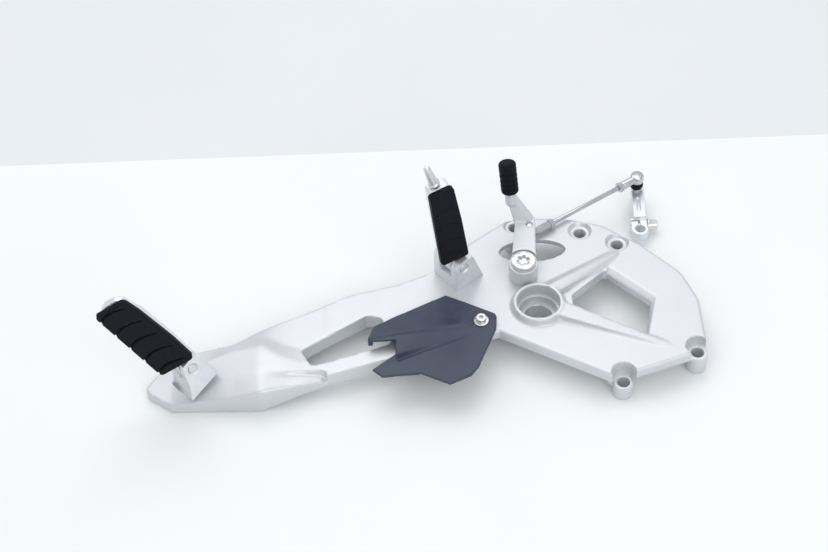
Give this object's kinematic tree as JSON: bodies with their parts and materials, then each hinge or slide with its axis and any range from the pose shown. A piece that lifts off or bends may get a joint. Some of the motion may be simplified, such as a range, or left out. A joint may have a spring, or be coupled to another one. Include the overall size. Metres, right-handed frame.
{
  "type": "motorcycle footrest plate assembly, left side",
  "caption": "Left footrest plate of a motorcycle with folding rider and pillion footrests, heel guard, shift lever and shift linkage to the gearbox lever.",
  "frame": {"origin": "axis of the pivot bore, at the inboard mounting plane that all frame bosses share", "axes": "+Z outboard along the pivot bore, +X towards the front of the motorcycle, -Y towards its top"},
  "size_m": [0.5015, 0.2405, 0.1762],
  "materials": {
    "casting": "silver-painted casting",
    "forged": "satin forged",
    "zinc": "zinc plated",
    "polished": "bright plated",
    "rubber": "moulded",
    "guard": "satin moulding",
    "spring_steel": "oiled",
    "bronze": "plain bearing"
  },
  "bodies": {
    "plate": {"footrest_plate": "casting", "rider_joint_block": "forged", "rider_peg_pin": "zinc", "rider_pin_clip": "spring_steel", "rider_joint_bolt": "zinc", "rider_return_spring": "spring_steel", "pillion_joint_block": "forged", "pillion_peg_pin": "zinc", "pillion_pin_clip": "spring_steel", "pillion_joint_bolt": "zinc", "pillion_spring_washer": "spring_steel", "lever_washer": "zinc", "lever_pivot_bolt": "zinc", "heel_guard": "guard", "heel_guard_collar": "zinc", "heel_guard_screw": "zinc", "heel_guard_rear_screws": "zinc"},
    "rider_peg": {"rider_peg_core": "forged", "rider_peg_rubber": "rubber", "rider_rubber_screws": "zinc", "feeler_pin": "zinc"},
    "pillion_peg": {"pillion_peg_core": "forged", "pillion_peg_rubber": "rubber", "pillion_rubber_screws": "zinc"},
    "shift_lever": {"shift_lever": "casting", "lever_bush": "bronze", "toe_pin": "zinc", "toe_rubber": "rubber", "rear_ball_stud": "polished"},
    "shift_rod": {"rear_ball_socket": "polished", "rear_dust_boot": "rubber", "shift_rod": "polished", "rod_lock_nuts": "polished", "front_ball_socket": "polished", "front_dust_boot": "rubber"},
    "gearbox_lever": {"gearbox_lever": "forged", "front_ball_stud": "polished", "pinch_bolt": "zinc"}
  },
  "joints": [
    {"name": "rider_peg_fold", "type": "hinge", "parent": "plate", "child": "rider_peg", "pos_m": [-0.0712, 0.04, 0.0515], "axis": [0.6018, -0.7986, 0], "range_deg": [0, 80], "stiffness_Nm_per_rad": 0.25, "springref_deg": -68.75, "deforming": ["rider_return_spring"]},
    {"name": "pillion_peg_fold", "type": "hinge", "parent": "plate", "child": "pillion_peg", "pos_m": [-0.3035, -0.0478, 0.0393], "axis": [0.5561, -0.7804, 0.2858], "range_deg": [0, 70]},
    {"name": "shift_lever_pivot", "type": "hinge", "parent": "plate", "child": "shift_lever", "pos_m": [-0.01, 0.036, 0.0297], "axis": [0, 0, 1], "range_deg": [-8, 8]},
    {"name": "rear_ball_joint", "type": "hinge", "parent": "shift_lever", "child": "shift_rod", "pos_m": [-0.001, 0.079, 0.0343], "axis": [0, 0, 1], "range_deg": [-4, 12]},
    {"name": "front_ball_joint", "type": "hinge", "parent": "shift_rod", "child": "gearbox_lever", "pos_m": [0.106, 0.1474, 0.03], "axis": [0, 0, 1], "range_deg": [-8, 25]}
  ]
}
